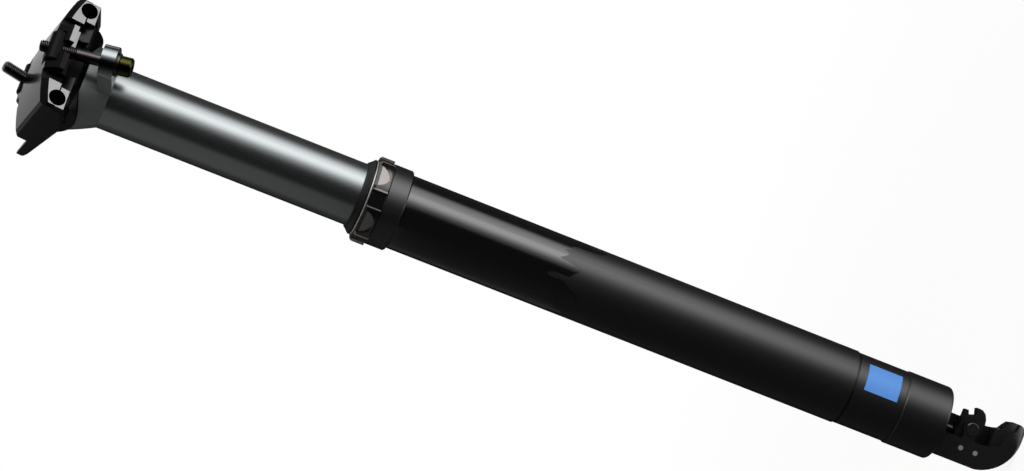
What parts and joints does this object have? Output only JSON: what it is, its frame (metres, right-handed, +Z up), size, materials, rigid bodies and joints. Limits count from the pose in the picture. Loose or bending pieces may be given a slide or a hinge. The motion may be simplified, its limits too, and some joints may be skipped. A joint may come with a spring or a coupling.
{
  "type": "bicycle dropper seatpost",
  "caption": "Telescopic bicycle seatpost with internal cable routing: sliding stanchion, collar and wiper, two-bolt saddle clamp with tilt, and a release lever under the foot.",
  "frame": {"origin": "on the post's axis at the underside of the collar, where the frame's seat tube ends", "axes": "+Z up the post towards the saddle, +X to the front of the bicycle, +Y to its left"},
  "size_m": [0.0548, 0.054, 0.4476],
  "materials": {
    "tube_black": "satin black anodised",
    "collar_black": "black anodised, turned",
    "wiper_steel": "drawn wire",
    "wiper_rubber": "moulded",
    "foam": "open-cell foam",
    "bushing": "low-friction sheet",
    "label_blue": "plain foil",
    "stanchion_grey": "polished hard anodised",
    "head_black": "gloss black anodised forging",
    "clamp_black": "gloss black anodised forging",
    "key_brass": "sawn bar",
    "cartridge_alloy": "turned",
    "rod_steel": "ground and plated",
    "bolt_steel": "black oxide, oiled thread",
    "nut_steel": "black oxide",
    "washer_steel": "black zinc",
    "bracket_black": "gloss black anodised",
    "pin_steel": "ground dowel"
  },
  "bodies": {
    "outer": {"outer_tube": "tube_black", "collar": "collar_black", "collar_nut": "collar_black", "wiper_ring": "wiper_steel", "wiper_seal": "wiper_rubber", "foam_ring": "foam", "upper_bushing": "bushing", "foot_sleeve": "tube_black", "foot_label": "label_blue", "end_cap": "tube_black", "cartridge_rod": "rod_steel", "piston": "cartridge_alloy", "piston_seal": "wiper_rubber", "actuator_bracket": "bracket_black", "bracket_pins": "pin_steel", "pivot_pin": "pin_steel"},
    "stanchion": {"stanchion": "stanchion_grey", "head": "head_black", "lower_bushing": "bushing", "anti_rotation_keys": "key_brass", "cartridge_cylinder": "cartridge_alloy", "cartridge_top_cap": "cartridge_alloy", "seal_head": "cartridge_alloy", "rod_seal": "wiper_rubber", "top_out_bumper": "wiper_rubber", "end_nut": "cartridge_alloy", "front_washer": "washer_steel", "rear_washer": "washer_steel"},
    "floating_piston": {"floating_piston": "cartridge_alloy", "floating_piston_seal": "wiper_rubber"},
    "saddle_clamp": {"lower_cradle": "clamp_black", "upper_clamp": "clamp_black"},
    "front_bolt": {"front_bolt": "bolt_steel"},
    "rear_bolt": {"rear_bolt": "bolt_steel"},
    "front_nut": {"front_barrel_nut": "nut_steel"},
    "rear_nut": {"rear_barrel_nut": "nut_steel"},
    "release_lever": {"release_lever": "bracket_black"},
    "valve_rod": {"valve_rod": "rod_steel"}
  },
  "joints": [
    {"name": "post_slide", "type": "slide", "parent": "outer", "child": "stanchion", "axis": [0, 0, 1], "range_m": [-0.1, 0], "stiffness_N_per_m": 700, "springref_m": 0.186},
    {"name": "floating_piston_slide", "type": "slide", "parent": "stanchion", "child": "floating_piston", "axis": [0, 0, 1], "range_m": [0, 0.0275]},
    {"name": "clamp_tilt", "type": "hinge", "parent": "stanchion", "child": "saddle_clamp", "pos_m": [0.003, 0, 0.1493], "axis": [0, 1, 0], "range_deg": [-8, 8]},
    {"name": "front_bolt_swing", "type": "hinge", "parent": "stanchion", "child": "front_bolt", "pos_m": [0.02461, 0, 0.12805], "axis": [0, 1, 0], "range_deg": [-0.3, 0.3]},
    {"name": "rear_bolt_swing", "type": "hinge", "parent": "stanchion", "child": "rear_bolt", "pos_m": [-0.01734, 0, 0.13908], "axis": [0, 1, 0], "range_deg": [-1.6, 1.6]},
    {"name": "front_nut_run", "type": "slide", "parent": "front_bolt", "child": "front_nut", "axis": [-0.2233, 0, 0.9748], "range_m": [-0.0024, 0.0024]},
    {"name": "rear_nut_run", "type": "slide", "parent": "rear_bolt", "child": "rear_nut", "axis": [0.3289, 0, 0.9444], "range_m": [-0.0024, 0.0024]},
    {"name": "lever_swing", "type": "hinge", "parent": "outer", "child": "release_lever", "pos_m": [0.00158, 0.00243, -0.2551], "axis": [-0.8377, 0.5461, 0], "range_deg": [0, 25]},
    {"name": "valve_lift", "type": "slide", "parent": "outer", "child": "valve_rod", "axis": [0, 0, 1], "range_m": [0, 0.0008], "stiffness_N_per_m": 1000, "springref_m": -0.002}
  ],
  "couplings": [
    {"joint": "floating_piston_slide", "follows": "post_slide", "ratio": -0.274},
    {"joint": "front_bolt_swing", "follows": "clamp_tilt", "ratio": 0.02515},
    {"joint": "rear_bolt_swing", "follows": "clamp_tilt", "ratio": 0.19486},
    {"joint": "front_nut_run", "follows": "clamp_tilt", "m_per_rad": -0.016324},
    {"joint": "rear_nut_run", "follows": "clamp_tilt", "m_per_rad": 0.015851},
    {"joint": "lever_swing", "follows": "valve_lift", "rad_per_m": 434.8}
  ]
}
